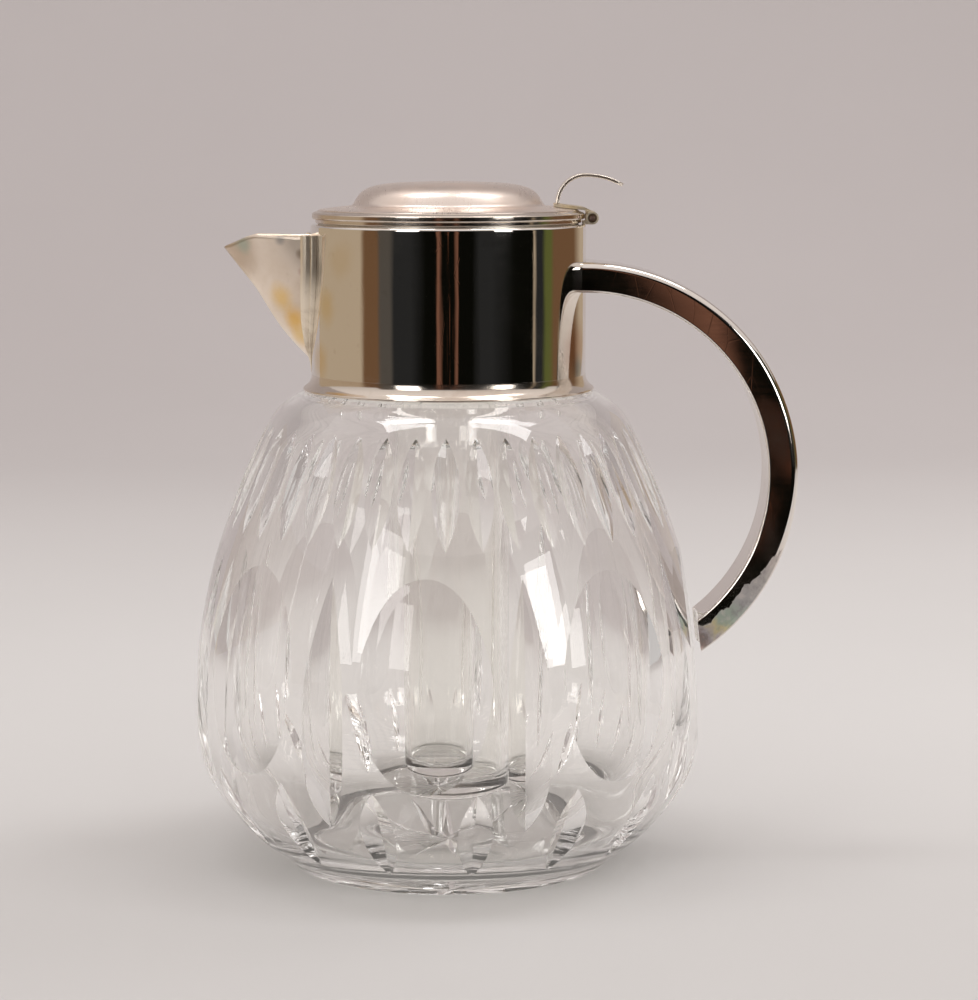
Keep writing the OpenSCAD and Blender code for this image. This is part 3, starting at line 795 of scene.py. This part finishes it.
def strip_round_beak():
    """Moulded band that follows the beak's root on the collar and ends in a point."""
    outer = catmull([(17.8, 230.3), (17.4, 219), (16.2, 211), (14.2, 203.6), (11.3, 196.4), (7.7, 189.8), (3.8, 184.0), (0.0, 179.7)], 5)
    inner = catmull([(15.9, 230.3), (15.5, 219), (14.2, 210.6), (12.1, 203.4), (9.4, 196.8), (6.4, 191.4), (3.2, 187.4), (0.0, 185.6)], 5)
    n = len(outer)
    prof = [(0.0, 0.05), (0.0, 0.8), (0.04, 1.35), (0.12, 1.8), (0.23, 1.98), (0.33, 1.8), (0.4, 1.35), (0.43, 1.25), (0.46, 1.5), (0.49, 2.5),
            (0.56, 3.4), (0.66, 3.9), (0.78, 4.02), (0.9, 3.8), (0.98, 3.35), (1.02, 3.3), (1.08, 3.75), (1.3, 4.35), (1.55, 4.75), (1.85, 5.0), (1.85, 4.5),
            (1.4, 3.4), (1.05, 2.4), (1.0, 1.6), (1.0, 0.05)]
    m = len(prof)
    vs, fs = [], []
    pts = [(i, 1) for i in range(n)] + [(i, -1) for i in range(n - 2, -1, -1)]
    for i, sgn in pts:
        for w, h in prof:
            w = min(w, 1.0) + max(0.0, w - 1.0) * min(1.0, max(0.0, (outer[i][1] - 186) / 14))
            y = outer[i][0] + (inner[i][0] - outer[i][0]) * w
            z = outer[i][1] + (inner[i][1] - outer[i][1]) * w
            a = math.asin(max(0.0, min(1.0, y / 50.0)))
            r = 50.0 + h * float(np.interp(outer[i][1], [179.7, 184, 190, 199, 212, 230], [0.12, 0.3, 0.55, 0.8, 0.97, 1.0]))
            vs.append((-r * math.cos(a), -sgn * r * math.sin(a), z))
    for i in range(len(pts) - 1):
        for j in range(m):
            k = (j + 1) % m
            fs.append((i * m + j, i * m + k, (i + 1) * m + k, (i + 1) * m + j))
    fs += [tuple(range(m))[::-1], tuple((len(pts) - 1) * m + j for j in range(m))]
    obj = new_object("beak_band", vs, fs)
    fix_normals(obj)
    return obj


band = strip_round_beak()
smooth_sharp(band, 50)
finish_piece(band, "frame", "jug", ["spout_flange"])

# ---------------------------------------------------------------- carried-over CAD nodes
for node, mat in (("neck_cement", "cement"), ("insert_cement", "cement"), ("insert_ledge", "inner"),
                  ("spout_strainer", "inner"), ("insert_flange", "inner"), ("insert_ferrule", "inner"),
                  ("lid_skirt", "inner"), ("handle_end_cap", "handle"), ("collar_hinge_leaf", "leaf"),
                  ("lid_hinge_leaf", "leaf"), ("hinge_pin", "pin")):
    dress(node, mat)
for node in ("collar_hinge_leaf", "lid_hinge_leaf"):
    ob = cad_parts[node]
    bv = ob.modifiers.new("edge", "BEVEL")
    bv.width = 0.15 * MM
    bv.segments = 2
    bv.limit_method = "ANGLE"
    bv.angle_limit = math.radians(40)

# ---------------------------------------------------------------- stage and light
def stage_sheet():
    vs, fs = [], []
    prof = [(-3.0, 0.0), (1.2, 0.0)]
    prof += [(1.2 + 1.2 * math.sin(math.radians(5 * k)), 1.2 - 1.2 * math.cos(math.radians(5 * k))) for k in range(1, 19)]
    prof += [(2.4, 4.0)]
    for y, z in prof:
        vs += [(-4.0, y, z), (4.0, y, z)]
    for i in range(len(prof) - 1):
        fs.append((2 * i, 2 * i + 1, 2 * i + 3, 2 * i + 2))
    obj = new_object("studio_floor", vs, fs, 1.0)
    obj.data.shade_smooth()
    m, nt, b = material("studio_paper")
    vec = coords(nt)
    n1 = noise_tex(nt, vec, 3.0, 4.0, 0.5)
    sep = nt.nodes.new("ShaderNodeSeparateXYZ")
    nt.links.new(vec, sep.inputs[0])
    # painted shade: the paper's colour is lighter round the jug and darker in front of it and towards the back
    far = map_range(nt, sep.outputs[1], 0.2, 1.9, 0.0, 1.0, smooth=True)
    front = map_range(nt, sep.outputs[1], -0.25, 0.30, 0.0, 1.0, smooth=True)
    front_painted_shade_col = ramp(nt, n1, [(0.3, (0.575, 0.56, 0.55)), (0.7, (0.59, 0.575, 0.565))])
    near_col = ramp(nt, n1, [(0.3, (0.70, 0.69, 0.68)), (0.7, (0.715, 0.705, 0.695))])
    far_painted_shade_col = ramp(nt, n1, [(0.3, (0.60, 0.562, 0.56)), (0.7, (0.615, 0.577, 0.575))])
    nt.links.new(mix(nt, far, mix(nt, front, front_painted_shade_col, near_col), far_painted_shade_col), b.inputs["Base Color"])
    b.inputs["Roughness"].default_value = 0.65
    bump(nt, b, noise_tex(nt, vec, 900.0, 2.0, 0.5), 0.05, 0.0003)
    obj.data.materials.append(m)
    return obj


stage_sheet()


def painted_room_reflection_colours(nt, floor=False):
    """Painted room reflection: glowing colour by compass angle round the jug (0 = straight in front, + to the handle).
    """
    tc = nt.nodes.new("ShaderNodeTexCoord")
    sep = nt.nodes.new("ShaderNodeSeparateXYZ")
    wob = noise_tex(nt, coords(nt, (1, 1, 2.5)), 5.0, 3.0, 0.5)
    nt.links.new(tc.outputs["Object"], sep.inputs[0])
    ang = math_node(nt, "ARCTAN2", sep.outputs[0], math_node(nt, "MULTIPLY", sep.outputs[1], -1.0))
    ang = math_node(nt, "MULTIPLY", ang, 180.0 / math.pi)
    ang = math_node(nt, "ADD", ang, math_node(nt, "MULTIPLY", math_node(nt, "SUBTRACT", wob, 0.5), 5.0))
    fac = map_range(nt, ang, -160.0, 160.0, 0.0, 1.0)
    wall, wood, grey, dim = (0.44, 0.35, 0.25), (0.15, 0.08, 0.04), (0.08, 0.07, 0.06), (0.02, 0.02, 0.02)
    black, stand, leaves = (0.003, 0.003, 0.002), (0.18, 0.08, 0.05), (0.10, 0.11, 0.03)
    if floor:
        zones = [(-130, -60, wall), (-52, 68, black), (82, 124, wall)]
    else:
        zones = [(-135, -76, wall), (-72, -60, wood), (-57, -48, grey), (-44, -30, dim), (-18, -8.5, black), (-7.5, -5.5, stand), (-4.5, 5.8, black),
                 (6.5, 7.7, stand), (8.5, 20, black), (26, 36, dim), (55, 74, black), (75, 75.3, wall), (77, 84, dim), (88, 93, leaves), (98, 128, wood), (142, 155, wall)]
    # a ramp holds 32 colours at most
    col = ramp(nt, fac, [((d + 160.0) / 320.0, z[2]) for z in zones for d in z[:2]])
    # painted reflection: reddish brown streaks straight in front
    streak = noise_tex(nt, coords(nt, (5.0, 1.0, 1.6)), 2.6, 4.0, 0.6, 0.6)
    band = math_node(nt, "MULTIPLY", map_range(nt, math_node(nt, "ABSOLUTE", math_node(nt, "ADD", ang, -2.0)), 3.0 if not floor else 10.0, 12.0 if floor else 5.5, 1.0, 0.0),
                     map_range(nt, streak, 0.52, 0.64, 0.0, 1.0, smooth=True))
    col = mix(nt, band, col, (0.13, 0.05, 0.028, 1))
    return col


def glowing_reflection_card(name, verts, faces, floor=False):
    obj = new_object(name, verts, faces, 1.0)
    m = bpy.data.materials.new(name)
    m.use_nodes = True
    nt = m.node_tree
    nt.nodes.clear()
    out = nt.nodes.new("ShaderNodeOutputMaterial")
    # the card glows with the painted room colours and is seen only in reflections: a painted reflection, not a lamp
    em = nt.nodes.new("ShaderNodeEmission")
    nt.links.new(em.outputs[0], out.inputs[0])
    nt.links.new(painted_room_reflection_colours(nt, floor), em.inputs["Color"])
    em.inputs["Strength"].default_value = 1.0
    obj.data.materials.append(m)
    obj.visible_camera = False
    obj.visible_diffuse = False
    obj.visible_transmission = False
    obj.visible_shadow = False
    return obj


def room_side():
    """Glowing cards painted with the sides of the room and its dark part behind the camera, seen only as reflections.
    """
    seg, R = 176, 1.75
    a0, a1 = -135.0, 152.0
    vs, fs = [], []
    for i in range(seg + 1):
        a = math.radians(a0 + (a1 - a0) * i / seg)
        h = 1.1 if -60 < math.degrees(a) < 93 else 0.75
        for z in (0.0, h):
            vs.append((R * math.sin(a), -R * math.cos(a), z))
    for i in range(seg):
        fs.append((2 * i, 2 * i + 2, 2 * i + 3, 2 * i + 1))
    glowing_reflection_card("room_side", vs, fs)
    # painted dark floor reflection: a glowing, mostly near-black card from 0.45 m in front of the jug, seen only in
    # reflections; the paper runs on under it
    vs, fs = [], []
    for i in range(61):
        a = math.radians(-56.0 + 136.0 * i / 60)
        r0 = min(0.45 / max(0.2, math.cos(a)), 1.5)
        for r in (r0, 1.8):
            vs.append((r * math.sin(a), -r * math.cos(a), 0.002))
    for i in range(60):
        fs.append((2 * i, 2 * i + 1, 2 * i + 3, 2 * i + 2))
    glowing_reflection_card("dark_floor_reflection_card", vs, fs, True)


room_side()


def area(name, loc, target, size, power, colour=(1, 1, 1)):
    d = bpy.data.lights.new(name, "AREA")
    d.shape = "RECTANGLE"
    d.size, d.size_y = size
    d.energy = power
    d.color = colour
    o = bpy.data.objects.new(name, d)
    COLL.objects.link(o)
    o.location = loc
    o.rotation_euler = (Vector(target) - Vector(loc)).to_track_quat("-Z", "Y").to_euler()
    return o


def polar(az, dist, z):
    return (dist * math.sin(math.radians(az)), -dist * math.cos(math.radians(az)), z)


area("softbox_left", polar(-33, 1.5, 0.64), (0, 0, 0.46), (0.50, 0.70), 4.3, (1.0, 0.985, 0.97))
area("softbox_right", polar(46.5, 1.5, 0.53), (0, 0, 0.46), (0.40, 0.60), 4.2, (1.0, 0.99, 0.98))
back = area("window_right_back", polar(118, 1.35, 1.15), (0, 0, 0.0), (0.7, 0.7), 3.9)
back.visible_glossy = False
back.visible_transmission = False
area("ceiling_left", (-0.456, -0.02, 1.7), (-0.456, -0.02, 0), (0.60, 0.28), 3.6)
area("ceiling_right", (0.65, -0.02, 1.7), (0.65, -0.02, 0), (0.78, 0.28), 4.6)

world = bpy.data.worlds.new("studio")
scene.world = world
world.use_nodes = True
wn = world.node_tree
wn.nodes.clear()
wo = wn.nodes.new("ShaderNodeOutputWorld")
bg = wn.nodes.new("ShaderNodeBackground")
bg.inputs["Strength"].default_value = 1.0
wtc = wn.nodes.new("ShaderNodeTexCoord")
wsep = wn.nodes.new("ShaderNodeSeparateXYZ")
wn.links.new(wtc.outputs["Generated"], wsep.inputs[0])
wn.links.new(ramp(wn, map_range(wn, wsep.outputs[2], -1.0, 1.0, 0.0, 1.0),
                  [(0.45, (0.60, 0.575, 0.56)), (0.62, (0.56, 0.53, 0.515)), (0.85, (0.80, 0.745, 0.72)), (1.0, (0.86, 0.80, 0.775))]),
             bg.inputs["Color"])
wn.links.new(bg.outputs[0], wo.inputs[0])

scene.cycles.max_bounces = 32
scene.cycles.transmission_bounces = 28
scene.cycles.glossy_bounces = 28
scene.cycles.diffuse_bounces = 3
scene.cycles.transparent_max_bounces = 16
scene.cycles.caustics_reflective = True
scene.cycles.caustics_refractive = True
scene.cycles.use_denoising = True
scene.view_settings.view_transform = "Standard"
scene.view_settings.look = "None"
